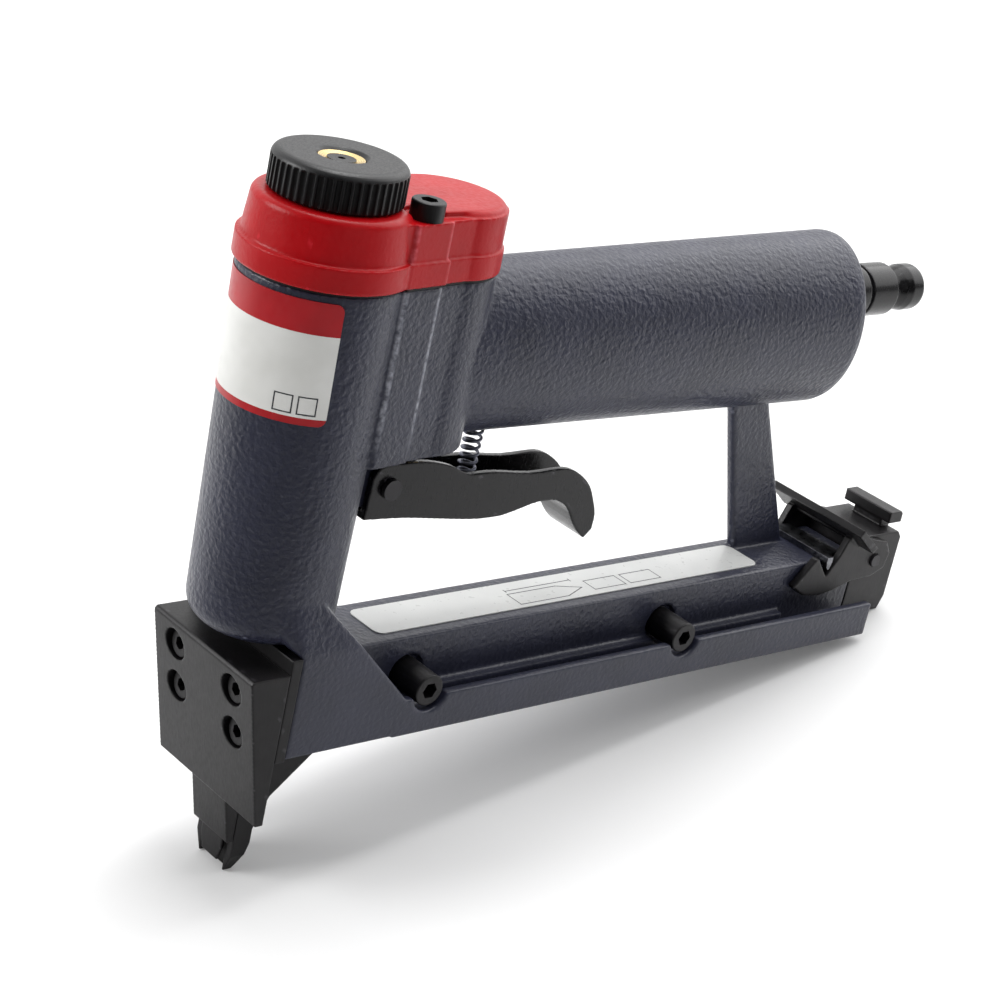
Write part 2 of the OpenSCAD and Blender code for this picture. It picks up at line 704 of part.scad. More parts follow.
module driver_guide() {
  toe = 1.4;
  toe_half = 4.4;
  color(black) difference() {
    side_plate([[joint_x, nose_seat], [guide_heel, nose_seat], [guide_heel, 0], [guide_knee_x, -guide_knee_drop],
      [guide_ankle_x, -guide_ankle_drop], [guide_ankle_x, -guide_toe_drop], [toe + 0.4, 0.8 - tip_depth],
      [toe, -tip_depth],
      [joint_x, -tip_depth]], -tongue_half, tongue_half);
    box(joint_x - past, slot_x, -slot_y, slot_y, -tip_depth - past, past);
    box(joint_x - past, slot_x, -tip_half - tip_room, tip_half + tip_room, -tip_depth - past, -tongue_drop);
    for (s = [-1, 1]) bar_x(joint_x - past, dowel_deep, s * dowel_y, dowel_z, dowel_r);
    for (s = [-1, 1]) translate([joint_x - past, 0, 0]) rotate([90, 0, 90]) linear_extrude(10)
      polygon([[s * toe_half, -tip_depth - past], [s * toe_half, -tip_depth], [s * tongue_half, 4 - tip_depth],
        [s * (tongue_half + past), 4 - tip_depth], [s * (tongue_half + past), -tip_depth - past]]);
  }
}

module guide_dowel(s) { color(steel) bar_x(guide_x + 0.1, dowel_deep, s * dowel_y, dowel_z, dowel_r - 0.01); }
module guide_dowel_left() { guide_dowel(-1); }
module guide_dowel_right() { guide_dowel(1); }

module nose_screw(z, s) {
  seat = plate_face(z) + screw_seat;
  color(black) translate([seat, s * nose_screw_y, z]) rotate([0, -90, 0])
    socket_screw(plate_screw_head, 3, plate_screw_r - 0.01, 9.5 - seat, 2.5);
}

module nose_screw_1() { nose_screw(nose_screw_high, -1); }
module nose_screw_2() { nose_screw(nose_screw_high, 1); }
module nose_screw_3() { nose_screw(nose_screw_low, -1); }
module nose_screw_4() { nose_screw(nose_screw_low, 1); }

// Magazine

module track(s) {
  color(steel) difference() {
    box(drawer_x - 0.5, arm_x_end, s > 0 ? track_in : -channel_half, s > 0 ? channel_half : -track_in,
      channel_z_low, channel_z_top);
    for (x = track_xs) bar_y(-arm_half, arm_half, x, track_screw_z, track_screw_r);
  }
}

module track_left() { track(-1); }
module track_right() { track(1); }

module track_screw(x, s) {
  color(black) translate([x, s * track_screw_seat, track_screw_z]) rotate([-90 * s, 0, 0])
    socket_screw(3.5, track_head, track_screw_r - seat_gap, track_screw_seat - track_in - 0.1, 3.2);
}

module track_screw_1() { track_screw(track_xs[0], -1); }
module track_screw_2() { track_screw(track_xs[0], 1); }
module track_screw_3() { track_screw(track_xs[1], -1); }
module track_screw_4() { track_screw(track_xs[1], 1); }

module magazine_drawer() {
  inner = drawer_half - drawer_t;
  color(steel) difference() {
    box(drawer_x, drawer_end_x, -drawer_half, drawer_half, drawer_z_low, drawer_z_top);
    box(drawer_x - past, drawer_end_x + past, -inner, inner, drawer_z_low + drawer_floor, drawer_z_top + past);
  }
}

module drawer_end() {
  top = latch_z + 5.5;
  low = 0.6;
  tab_x = drawer_x_end - 5;
  color(black) difference() {
    union() {
      side_plate([[drawer_end_x, low], [drawer_x_end - 1.5, low], [drawer_x_end, low + 3.4],
        [drawer_x_end, top - 1.6], [drawer_x_end - 1.4, top], [drawer_end_x, top]], -arm_half, arm_half);
      box(tab_x + 0.8, drawer_x_end - 0.6, -4.5, 4.5, top - past, top + 2.6);
      side_plate([[tab_x, top + 2], [drawer_x_end - 0.3, top + 2], [drawer_x_end - 0.3, top + 4.2],
        [drawer_x_end - 1, top + 4.9], [tab_x, top + 4.9]], -7.5, 7.5);
    }
    bar_y(-arm_half - past, arm_half + past, latch_x, latch_z, latch_pin_r);
    bar_x(drawer_end_x - past, drawer_end_x + rod_deep, 0, rod_z, rod_r + seat_gap);
  }
}

module pusher_rod() { color(steel) bar_x(pusher_x - 2, drawer_end_x + rod_deep - slide_gap, 0, rod_z, rod_r); }

module pusher() {
  low = drawer_z_low + drawer_floor + slide_gap;
  color(steel) difference() {
    union() {
      box(pusher_x, pusher_x + pusher_len, -pusher_half, pusher_half, low, drawer_z_top + slide_gap);
      side_plate([[drawer_x + 0.9, low + 2], [pusher_x + 0.1, low], [pusher_x + 0.1, drawer_z_top + slide_gap],
        [drawer_x + 0.9, drawer_z_top + slide_gap]], 0.5 - pusher_half, pusher_half - 0.5);
    }
    bar_x(drawer_x, pusher_x + pusher_len + past, 0, rod_z, rod_r + run_gap);
  }
}

module pusher_spring() {
  start = pusher_x + pusher_len + pusher_wire;
  color(steel) translate([start, 0, rod_z]) rotate([0, 90, 0])
    coil(pusher_coil_r, drawer_end_x - start - pusher_wire, 40, pusher_wire, "pusher_spring");
}

// Latch

module latch_lever() {
  color(black) difference() {
    union() {
      both_sides(moved(latch_side, latch_x, latch_z), cheek_in, cheek_out);
      side_plate(moved(thumb_side, latch_x, latch_z), -thumb_half, thumb_half);
      side_plate(moved([[-9.9, 5.8], [-6.1, 5.8], [-6.1, 7.1], [-9.9, 7.1]], latch_x, latch_z),
        -cheek_out, cheek_out);
    }
    bar_y(-cheek_out - past, cheek_out + past, latch_x, latch_z, latch_pin_r + 0.05);
  }
}

module latch_pin() { color(steel) bar_y(-cheek_out - 0.6, cheek_out + 0.6, latch_x, latch_z, latch_pin_r - 0.01); }

// a bridge on the arm whose fingers stand in the latch's notches
module latch_catch() {
  finger = [[0, 0.1], [catch_finger, 0.1], [catch_finger - 0.4, -1.3], [1, -1.9], [0.4, -1.3]];
  reach = cheek_out - 0.15;
  color(steel) union() {
    box(catch_x, catch_x + catch_len, 0.15 - arm_half, arm_half - 0.15, arm_z, arm_z + catch_t);
    box(catch_x, catch_x + catch_finger, -reach, reach, arm_z, arm_z + catch_t);
    both_sides(moved(finger, catch_x, arm_z), cheek_in + 0.05, reach);
  }
}

// Trigger and valve

module trigger() {
  // inside of the folded sheet: level above the web, then following the hook
  hook = 39.4;
  low = eased_path(trigger_low);
  inner = [for (p = low) let (k = max(0, (p[0] - hook) / 18)) [p[0] + k * 1.6, p[1] + trigger_t - k * 0.4]];
  inside = concat([[-12, -4.9]], inner, [[68, -10], [68, 20], [-12, 20]]);
  color(black) difference() {
    side_plate(moved(concat(low, eased_path(trigger_top)), trigger_x, trigger_z), -trigger_half, trigger_half);
    side_plate(moved(inside, trigger_x, trigger_z), trigger_t - trigger_half, trigger_half - trigger_t);
    bar_y(-trigger_half - past, trigger_half + past, trigger_x, trigger_z, trigger_pin_r + run_gap);
  }
}

module trigger_pin() {
  color(black) union() {
    bar_y(-trigger_half - 1, trigger_half + 1, trigger_x, trigger_z, trigger_pin_r);
    for (s = [-1, 1]) mirror([0, s > 0 ? 0 : 1, 0])
      bar_y(trigger_half + slide_gap, trigger_half + 1.2, trigger_x, trigger_z, trigger_pin_r + 0.6);
  }
}

module trigger_spring() {
  color(steel) translate([return_x, 0, return_foot])
    coil(return_r, return_roof - return_foot - return_wire, return_turns, return_wire, "trigger_spring");
}

module valve_bush() {
  color(brass) difference() {
    bar_z(neck_z_low, valve_top, valve_x, 0, valve_r - seat_gap);
    bar_z(neck_z_low - past, valve_chamber + past, valve_x, 0, stem_r + 0.05);
    bar_z(valve_chamber, valve_top + past, valve_x, 0, valve_chamber_r);
    for (z = valve_ring_zs) groove_z(z, valve_x, valve_r - seat_gap, 0.88, 1.1);
  }
}

module valve_ring(i) { color(rubber) ring_z(valve_ring_zs[i], valve_x, valve_r - 0.45, 0.42); }
module valve_ring_upper() { valve_ring(1); }
module valve_ring_lower() { valve_ring(0); }

module valve_stem() {
  color(steel) union() {
    bar_z(stem_foot, valve_chamber + 1, valve_x, 0, stem_r);
    bar_z(valve_chamber + 0.1, valve_chamber + 0.1 + stem_head, valve_x, 0, valve_chamber_r - run_gap);
  }
}

module valve_spring() {
  start = valve_chamber + 0.1 + stem_head + 0.5;
  color(steel) translate([valve_x, 0, start]) coil(2.3, valve_roof - start - 0.5, 4, 0.6, "valve_spring");
}

// Air plug

module air_plug() {
  // along the plug from the handle, with its radius: flange, collar with a groove, waist and nose
  end = plug_len;
  nose_r = plug_r - 0.7;
  profile = concat([[plug_bore_r, -plug_thread], [plug_thread_r, -plug_thread], [plug_thread_r, 0], [7, 0], [7, 2],
    [plug_r, 2.6], [plug_r, end - 20.4], [plug_r - 0.6, end - 20.2], [plug_r - 0.6, end - 19.6], [plug_r, end - 19.4],
    [plug_r, end - 11], [plug_r - 1.9, end - 10.4], [plug_r - 2.1, end - 9.2], [plug_r - 1.9, end - 8],
    [plug_r - 1.2, end - 6.2], [nose_r, end - 4.4], [nose_r, end - 2.2]],
    arc(nose_r - 1.4, end - 1.4, 1.4, 0, 80, 5), [[nose_r - 1.4, end], [plug_bore_r, end]]);
  color(black) translate([handle_x_end, 0, plug_z]) rotate([0, 90, 0]) rotate_extrude() polygon(profile);
}

place() body_casting();
place() cylinder_cap();
place() cap_gasket();
place() cap_screw_left();
place() cap_screw_right();
place() cylinder_sleeve();
place() sleeve_ring_upper();
place() sleeve_ring_lower();
place() bumper();
place() piston();
place() piston_ring();
place() driver_blade();
place() head_valve();
place() head_valve_seal();
place() head_valve_spring();
place() power_knob();
place() knob_core();
place() adjuster_ring();
place() nose_plate();
place() guide_plate();
place() driver_guide();
place() guide_dowel_left();
place() guide_dowel_right();
place() nose_screw_1();
place() nose_screw_2();
place() nose_screw_3();
place() nose_screw_4();
place() track_left();
place() track_right();
place() track_screw_1();
place() track_screw_2();
place() track_screw_3();
place() track_screw_4();
place() magazine_drawer();
place() drawer_end();
place() pusher_rod();
place() pusher();
place() pusher_spring();
place() latch_lever();
place() latch_pin();
place() latch_catch();
place() trigger();
place() trigger_pin();
place() trigger_spring();
place() valve_bush();
place() valve_ring_upper();
place() valve_ring_lower();
place() valve_stem();
place() valve_spring();
place() air_plug();
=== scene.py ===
"""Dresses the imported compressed-air fastener gun: finishes, eased edges, springs and blank stickers."""
import json
import math

import bpy
from mathutils import Matrix, Vector

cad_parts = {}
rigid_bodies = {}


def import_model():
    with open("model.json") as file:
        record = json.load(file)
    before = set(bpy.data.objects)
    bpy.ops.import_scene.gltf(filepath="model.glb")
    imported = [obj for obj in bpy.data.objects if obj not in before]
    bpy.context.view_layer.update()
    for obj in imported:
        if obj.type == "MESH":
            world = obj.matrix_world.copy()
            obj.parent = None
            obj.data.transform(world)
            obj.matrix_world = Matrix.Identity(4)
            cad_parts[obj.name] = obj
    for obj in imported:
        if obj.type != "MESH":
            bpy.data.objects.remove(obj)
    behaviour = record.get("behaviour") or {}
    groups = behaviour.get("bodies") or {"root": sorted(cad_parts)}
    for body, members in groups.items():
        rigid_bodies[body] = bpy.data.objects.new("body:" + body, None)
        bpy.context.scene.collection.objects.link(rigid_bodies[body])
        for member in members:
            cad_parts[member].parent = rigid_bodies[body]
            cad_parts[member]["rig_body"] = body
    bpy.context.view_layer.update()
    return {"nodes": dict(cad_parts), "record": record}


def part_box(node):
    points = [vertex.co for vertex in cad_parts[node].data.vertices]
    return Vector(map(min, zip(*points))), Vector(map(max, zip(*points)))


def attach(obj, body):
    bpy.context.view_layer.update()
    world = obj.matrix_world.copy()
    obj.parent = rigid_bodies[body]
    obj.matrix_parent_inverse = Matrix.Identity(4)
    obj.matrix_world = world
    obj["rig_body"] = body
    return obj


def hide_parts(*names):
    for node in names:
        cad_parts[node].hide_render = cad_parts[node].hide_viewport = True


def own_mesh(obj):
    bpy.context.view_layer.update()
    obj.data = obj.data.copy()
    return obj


for start_object in list(bpy.data.objects):
    bpy.data.objects.remove(start_object)
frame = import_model()
nodes = frame["nodes"]

MM = 0.001
# the part frame starts this far behind the barrel's axis and below the rail's underside
AXIS_BACK = 85.75
RAIL_UP = 32.3


def at(x, y, z):
    """A place given in millimetres from the barrel's axis and the rail's underside, in the part frame."""
    return Vector(((x - AXIS_BACK) * MM, y * MM, (z + RAIL_UP) * MM))


def barrel_radius(z):
    """Radius of the tapered barrel at a height above the rail's underside, in millimetres."""
    return 14.7 + 1.4 * (z - 23) / 73


# Modelling by hand

def deselect():
    """Leaves edit mode with nothing selected."""
    if bpy.context.object and bpy.context.object.mode != "OBJECT":
        bpy.ops.object.mode_set(mode="OBJECT")
    for other in bpy.context.view_layer.objects:
        if other.select_get():
            other.select_set(False)


def take(piece):
    """Makes one piece the only selected and active one."""
    deselect()
    piece.select_set(True)
    bpy.context.view_layer.objects.active = piece


def edit_all():
    """Edit mode on the active piece with everything selected."""
    bpy.ops.object.mode_set(mode="EDIT")
    bpy.ops.mesh.select_all(action="SELECT")


def shape(piece, kind, **settings):
    """Adds one modifier with its settings and applies it."""
    take(piece)
    modifier = piece.modifiers.new(kind.lower(), kind)
    for name, value in settings.items():
        setattr(modifier, name, value)
    bpy.ops.object.modifier_apply(modifier=modifier.name)


def settle(piece, name, body, finish):
    """Names a finished piece, gives it its finish and lets it ride on its body."""
    piece.name = name
    piece.data.name = name
    piece.data.materials.clear()
    piece.data.materials.append(finish)
    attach(piece, body)


def eased(node, name, finish, voxel, passes, share, angle=40):
    """Stands for a CAD node, its edges eased and its inner corners filled as casting leaves them."""
    piece = bpy.data.objects.new(name, nodes[node].data.copy())
    bpy.context.scene.collection.objects.link(piece)
    take(piece)
    edit_all()
    bpy.ops.mesh.remove_doubles(threshold=0.002 * MM)
    bpy.ops.object.mode_set(mode="OBJECT")
    shape(piece, "REMESH", mode="VOXEL", voxel_size=voxel * MM)
    shape(piece, "SMOOTH", factor=0.5, iterations=passes)
    shape(piece, "DECIMATE", ratio=share)
    bpy.ops.object.shade_smooth_by_angle(angle=math.radians(angle))
    settle(piece, name, nodes[node]["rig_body"], finish)
    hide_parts(node)
    return piece


# Finishes

def linear(colour):
    """An sRGB hex colour as linear RGBA."""
    parts = [int(colour[i:i + 2], 16) / 255 for i in (1, 3, 5)]
    return [c / 12.92 if c <= 0.04045 else ((c + 0.055) / 1.055) ** 2.4 for c in parts] + [1]


def add(finish, kind, settings=None, links=None):
    """Adds one shader node, or takes the one given, sets its properties and inputs and links its inputs."""
    tree = finish.node_tree
    node = tree.nodes.new("ShaderNode" + kind) if isinstance(kind, str) else kind
    for name, value in (settings or {}).items():
        if name == "ramp":
            node.color_ramp.elements[0].position = value[0][0]
            node.color_ramp.elements[0].color = linear(value[0][1])
            node.color_ramp.elements[1].position = value[1][0]
            node.color_ramp.elements[1].color = linear(value[1][1])
        elif isinstance(name, int) or name in node.inputs:
            node.inputs[name].default_value = value
        else:
            setattr(node, name, value)
    for name, (source, output) in (links or {}).items():
        tree.links.new(source.outputs[output], node.inputs[name])
    return node


def new_finish(name):
    """An empty finish and its shader."""
    finish = bpy.data.materials.new(name)
    finish.use_nodes = True
    return finish, finish.node_tree.nodes["Principled BSDF"]


def worn_and_highlit_corners(finish, place):
    """How near a spot is to the two upright corners of a cap screw's column, from 0 to 1, for pale lines
    that are partly paint wear and partly a painted highlight.
    """
    spot = add(finish, "SeparateXYZ", {}, {"Vector": (place, "Object")})
    side = add(finish, "Math", {"operation": "ABSOLUTE"}, {0: (spot, "Y")})
    plan = add(finish, "CombineXYZ", {}, {"X": (spot, "X"), "Y": (side, "Value")})
    front_corner = at(9.2, 14.1, -RAIL_UP)
    rear_corner = at(18.3, 13.2, -RAIL_UP)
    front = add(finish, "VectorMath", {"operation": "DISTANCE", 1: front_corner}, {0: (plan, "Vector")})
    rear = add(finish, "VectorMath", {"operation": "DISTANCE", 1: rear_corner}, {0: (plan, "Vector")})
    nearest = add(finish, "Math", {"operation": "MINIMUM"}, {0: (front, "Value"), 1: (rear, "Value")})
    raised = add(finish, "MapRange", {"From Min": 0.094, "From Max": 0.104}, {"Value": (spot, "Z")})
    corner_nearness = add(finish, "MapRange", {"From Min": 0.3 * MM, "From Max": 0.8 * MM, "To Min": 1, "To Max": 0},
                 {"Value": (nearest, "Value")})
    spots = add(finish, "TexNoise", {"Scale": 1 / (1.3 * MM), "Detail": 2}, {"Vector": (place, "Object")})
    uneven = add(finish, "MapRange", {"From Min": 0.35, "From Max": 0.62, "To Min": 0.15, "To Max": 0.8},
                 {"Value": (spots, "Fac")})
    patchy = add(finish, "Math", {"operation": "MULTIPLY"}, {0: (corner_nearness, "Result"), 1: (uneven, "Result")})
    return add(finish, "Math", {"operation": "MULTIPLY"}, {0: (patchy, "Value"), 1: (raised, "Result")})


def hammered_enamel():
    """Slate hammer enamel baked on die-cast aluminium."""
    # the paint shrinks into a leather-like grain about 1 mm across, so highlights break into flecks
    finish, shader = new_finish("hammered_slate_enamel")
    place = add(finish, "TexCoord")
    height = add(finish, "SeparateXYZ", {}, {"Vector": (place, "Object")})
    leather = add(finish, "TexNoise",
                  {"Scale": 1 / (0.95 * MM), "Detail": 2, "Roughness": 0.45, "Distortion": 0.35},
                  {"Vector": (place, "Object")})
    pores = add(finish, "TexVoronoi", {"feature": "SMOOTH_F1", "Scale": 1 / (1.25 * MM), "Smoothness": 0.5},
                {"Vector": (place, "Object")})
    patches = add(finish, "TexNoise", {"Scale": 1 / (16 * MM), "Detail": 3}, {"Vector": (place, "Object")})
    relief = add(finish, "Math", {"operation": "MULTIPLY_ADD", 1: -0.5},
                 {0: (pores, "Distance"), 2: (leather, "Fac")})
    # the flat rails and the nose block take the coat smoother than the barrel and the handle
    upper = add(finish, "MapRange", {"From Min": 0.046, "From Max": 0.06, "To Min": 0.55, "To Max": 1},
                {"Value": (height, "Z")})
    tone = add(finish, "ValToRGB", {"ramp": [(0.3, "#262837"), (0.7, "#2f3142")]},
               {"Fac": (patches, "Fac")})
    # convex edges are painted paler: partly paint wear, partly a painted highlight along the eased edges
    bend = add(finish, "NewGeometry")
    edge = add(finish, "MapRange", {"From Min": 0.555, "From Max": 0.64, "To Max": 0.5},
               {"Value": (bend, "Pointiness")})
    pale_edges = add(finish, "Mix", {"data_type": "RGBA", 7: linear("#757887")},
               {0: (edge, "Result"), 6: (tone, "Color")})
    # pale lines along the corners of the screw columns: partly paint wearing through, partly a painted
    # highlight on the corners
    corner = worn_and_highlit_corners(finish, place)
    pale_corner_lines = add(finish, "Mix", {"data_type": "RGBA", 7: linear("#9c9ea8")},
               {0: (corner, "Value"), 6: (pale_edges, 2)})
    gloss = add(finish, "MapRange", {"From Min": 0.3, "From Max": 0.7, "To Min": 0.42, "To Max": 0.3},
                {"Value": (leather, "Fac")})
    bump = add(finish, "Bump", {"Distance": 0.22 * MM},
               {"Height": (relief, "Value"), "Strength": (upper, "Result")})
    add(finish, shader, {"IOR": 1.5},
        {"Base Color": (pale_corner_lines, 2), "Roughness": (gloss, "Result"), "Normal": (bump, "Normal")})
    return finish


def red_enamel():
    """Red enamel sprayed on the cast cap."""
    # a satin coat over cast grain about 1 mm across, finer than the slate coat
    finish, shader = new_finish("sprayed_red_enamel")
    place = add(finish, "TexCoord")
    grain = add(finish, "TexNoise",
                {"Scale": 1 / (1.0 * MM), "Detail": 2, "Roughness": 0.5, "Distortion": 0.4},
                {"Vector": (place, "Object")})
    patches = add(finish, "TexNoise", {"Scale": 1 / (12 * MM), "Detail": 2}, {"Vector": (place, "Object")})
    tone = add(finish, "ValToRGB", {"ramp": [(0.3, "#a20109"), (0.7, "#b1020d")]},
               {"Fac": (patches, "Fac")})
    bend = add(finish, "NewGeometry")
    edge = add(finish, "MapRange", {"From Min": 0.54, "From Max": 0.62, "To Max": 0.45},
               {"Value": (bend, "Pointiness")})
    pale_edges = add(finish, "Mix", {"data_type": "RGBA", 7: linear("#d82a38")},
               {0: (edge, "Result"), 6: (tone, "Color")})
    # pale lines along the column corners: partly paint wear, partly a painted highlight
    corner = worn_and_highlit_corners(finish, place)
    pale_corner_lines = add(finish, "Mix", {"data_type": "RGBA", 7: linear("#cf5a62")},
               {0: (corner, "Value"), 6: (pale_edges, 2)})
    gloss = add(finish, "MapRange", {"From Min": 0.3, "From Max": 0.7, "To Min": 0.4, "To Max": 0.3},
                {"Value": (grain, "Fac")})
    bump = add(finish, "Bump", {"Strength": 0.6, "Distance": 0.09 * MM}, {"Height": (grain, "Fac")})
    add(finish, shader, {"IOR": 1.33},
        {"Base Color": (pale_corner_lines, 2), "Roughness": (gloss, "Result"), "Normal": (bump, "Normal")})
    return finish


def black_oxide(name, dark, pale, rough_low, rough_high):
    """Black oxide on machined and pressed steel."""
    # a thin conversion coat: satin black with a brown cast, 6 mm clouds, fine tool marks and paler edges
    finish, shader = new_finish(name)
    place = add(finish, "TexCoord")
    clouds = add(finish, "TexNoise", {"Scale": 1 / (6 * MM), "Detail": 4, "Roughness": 0.6},
                 {"Vector": (place, "Object")})
    stretch = add(finish, "Mapping", {"Scale": (6, 6, 1)}, {"Vector": (place, "Object")})
    marks = add(finish, "TexNoise", {"Scale": 1 / (2.4 * MM), "Detail": 3, "Roughness": 0.6},
                {"Vector": (stretch, "Vector")})
    tone = add(finish, "ValToRGB", {"ramp": [(0.3, dark), (0.72, pale)]}, {"Fac": (clouds, "Fac")})
    bend = add(finish, "NewGeometry")
    edge = add(finish, "MapRange", {"From Min": 0.55, "From Max": 0.65, "To Max": 0.5},
               {"Value": (bend, "Pointiness")})
    pale_edges = add(finish, "Mix", {"data_type": "RGBA", 7: linear("#48464b")},
               {0: (edge, "Result"), 6: (tone, "Color")})
    gloss = add(finish, "MapRange",
                {"From Min": 0.3, "From Max": 0.7, "To Min": rough_low, "To Max": rough_high},
                {"Value": (marks, "Fac")})
    bump = add(finish, "Bump", {"Strength": 0.3, "Distance": 0.03 * MM}, {"Height": (marks, "Fac")})
    add(finish, shader, {"Metallic": 0.3},
        {"Base Color": (pale_edges, 2), "Roughness": (gloss, "Result"), "Normal": (bump, "Normal")})
    return finish


def bright_steel(name, dark, pale):
    """Zinc-plated or ground steel."""
    # grey metal with clouding over 3 mm and fine scratches
    finish, shader = new_finish(name)
    place = add(finish, "TexCoord")
    clouds = add(finish, "TexNoise", {"Scale": 1 / (3 * MM), "Detail": 4, "Roughness": 0.6},
                 {"Vector": (place, "Object")})
    tone = add(finish, "ValToRGB", {"ramp": [(0.3, dark), (0.7, pale)]}, {"Fac": (clouds, "Fac")})
    gloss = add(finish, "MapRange", {"From Min": 0.3, "From Max": 0.7, "To Min": 0.24, "To Max": 0.42},
                {"Value": (clouds, "Fac")})
    bump = add(finish, "Bump", {"Strength": 0.25, "Distance": 0.02 * MM}, {"Height": (clouds, "Fac")})
    add(finish, shader, {"Metallic": 1.0},
        {"Base Color": (tone, "Color"), "Roughness": (gloss, "Result"), "Normal": (bump, "Normal")})
    return finish


def turned_brass():
    """Brass faced on a lathe."""
    # rings about 0.4 mm apart around the barrel's axis, coarser than a real tool's so that they show
    finish, shader = new_finish("turned_brass")
    place = add(finish, "TexCoord")
    centred = add(finish, "Mapping", {"Location": (AXIS_BACK * MM, 0, 0)}, {"Vector": (place, "Object")})
    rings = add(finish, "TexWave",
                {"wave_type": "RINGS", "rings_direction": "Z", "Scale": 0.31 / (0.4 * MM),
                 "Distortion": 0.4, "Detail": 1}, {"Vector": (centred, "Vector")})
    tone = add(finish, "ValToRGB", {"ramp": [(0.2, "#dfc07c"), (0.8, "#f3dca8")]}, {"Fac": (rings, "Fac")})
    gloss = add(finish, "MapRange", {"To Min": 0.34, "To Max": 0.22}, {"Value": (rings, "Fac")})
    bump = add(finish, "Bump", {"Strength": 0.3, "Distance": 0.03 * MM}, {"Height": (rings, "Fac")})
    add(finish, shader, {"Metallic": 1.0},
        {"Base Color": (tone, "Color"), "Roughness": (gloss, "Result"), "Normal": (bump, "Normal")})
    return finish


def moulded(name, dark, pale, rough, grit):
    """Black moulded nylon or rubber."""
    # an even spark-eroded grain, as the mould leaves it
    finish, shader = new_finish(name)
    place = add(finish, "TexCoord")
    grain = add(finish, "TexNoise", {"Scale": 1 / (grit * MM), "Detail": 2}, {"Vector": (place, "Object")})
    clouds = add(finish, "TexNoise", {"Scale": 1 / (5 * MM), "Detail": 2}, {"Vector": (place, "Object")})
    tone = add(finish, "ValToRGB", {"ramp": [(0.3, dark), (0.7, pale)]}, {"Fac": (clouds, "Fac")})
    gloss = add(finish, "MapRange",
                {"From Min": 0.3, "From Max": 0.7, "To Min": rough - 0.07, "To Max": rough + 0.07},
                {"Value": (grain, "Fac")})
    bump = add(finish, "Bump", {"Strength": 0.4, "Distance": 0.03 * MM}, {"Height": (grain, "Fac")})
    add(finish, shader, {"IOR": 1.53},
        {"Base Color": (tone, "Color"), "Roughness": (gloss, "Result"), "Normal": (bump, "Normal")})
    return finish


def banded_vinyl(foot, head):
    """White vinyl sticker with a printed red band above and a narrow one below."""
    # satin film that shows a little of the hammered paint under it
    finish, shader = new_finish("banded_vinyl")
    place = add(finish, "TexCoord")
    height = add(finish, "SeparateXYZ", {}, {"Vector": (place, "Object")})
    under = add(finish, "TexNoise", {"Scale": 1 / (1.5 * MM), "Detail": 2}, {"Vector": (place, "Object")})
    patches = add(finish, "TexNoise", {"Scale": 1 / (9 * MM), "Detail": 2}, {"Vector": (place, "Object")})
    paper = add(finish, "ValToRGB", {"ramp": [(0.3, "#d2d2ce"), (0.7, "#dededb")]},
                {"Fac": (patches, "Fac")})
    ink = add(finish, "ValToRGB", {"ramp": [(0.3, "#a00712"), (0.7, "#af0a17")]}, {"Fac": (patches, "Fac")})
    above = add(finish, "Math", {"operation": "GREATER_THAN", 1: head}, {0: (height, "Z")})
    below = add(finish, "Math", {"operation": "LESS_THAN", 1: foot}, {0: (height, "Z")})
    printed = add(finish, "Math", {"operation": "ADD", "use_clamp": True},
                  {0: (above, "Value"), 1: (below, "Value")})
    tone = add(finish, "Mix", {"data_type": "RGBA"},
               {0: (printed, "Value"), 6: (paper, "Color"), 7: (ink, "Color")})
    gloss = add(finish, "MapRange", {"From Min": 0.3, "From Max": 0.7, "To Min": 0.3, "To Max": 0.4},
                {"Value": (under, "Fac")})
    bump = add(finish, "Bump", {"Strength": 0.12, "Distance": 0.06 * MM}, {"Height": (under, "Fac")})
    add(finish, shader, {"IOR": 1.46},
        {"Base Color": (tone, 2), "Roughness": (gloss, "Result"), "Normal": (bump, "Normal")})
    return finish


def plain_film(name, dark, pale, rough):
    """Printed or bare sticker film."""
    # satin film, slightly clouded
    finish, shader = new_finish(name)
    place = add(finish, "TexCoord")
    under = add(finish, "TexNoise", {"Scale": 1 / (1.5 * MM), "Detail": 2}, {"Vector": (place, "Object")})
    patches = add(finish, "TexNoise", {"Scale": 1 / (14 * MM), "Detail": 2}, {"Vector": (place, "Object")})
    tone = add(finish, "ValToRGB", {"ramp": [(0.3, dark), (0.7, pale)]}, {"Fac": (patches, "Fac")})
    gloss = add(finish, "MapRange",
                {"From Min": 0.3, "From Max": 0.7, "To Min": rough - 0.05, "To Max": rough + 0.05},
                {"Value": (under, "Fac")})
    bump = add(finish, "Bump", {"Strength": 0.1, "Distance": 0.05 * MM}, {"Height": (under, "Fac")})
    add(finish, shader, {"IOR": 1.46},
        {"Base Color": (tone, "Color"), "Roughness": (gloss, "Result"), "Normal": (bump, "Normal")})
    return finish


slate = hammered_enamel()
red = red_enamel()
oxide = black_oxide("black_oxide_steel", "#121113", "#1d1b1d", 0.34, 0.48)
gloss_black = black_oxide("black_lacquered_steel", "#0b0a0c", "#121114", 0.16, 0.3)
steel = bright_steel("bright_plated_steel", "#9b9c9f", "#c3c4c7")
worn_steel = bright_steel("worn_catch_steel", "#4a4a4e", "#86878c")
spring_steel = bright_steel("oiled_spring_steel", "#4b4d58", "#7c7e8a")
brass = turned_brass()
nylon = moulded("moulded_black_nylon", "#070709", "#0d0d10", 0.42, 0.35)
rubber = moulded("nitrile_rubber", "#0d0d0e", "#141415", 0.65, 0.5)
bands = banded_vinyl((71.9 + RAIL_UP) * MM, (88.2 + RAIL_UP) * MM)
film = plain_film("satin_white_film", "#cfd0cf", "#dadbd9", 0.32)
line_ink = plain_film("dark_grey_ink", "#3a3b40", "#46474c", 0.4)

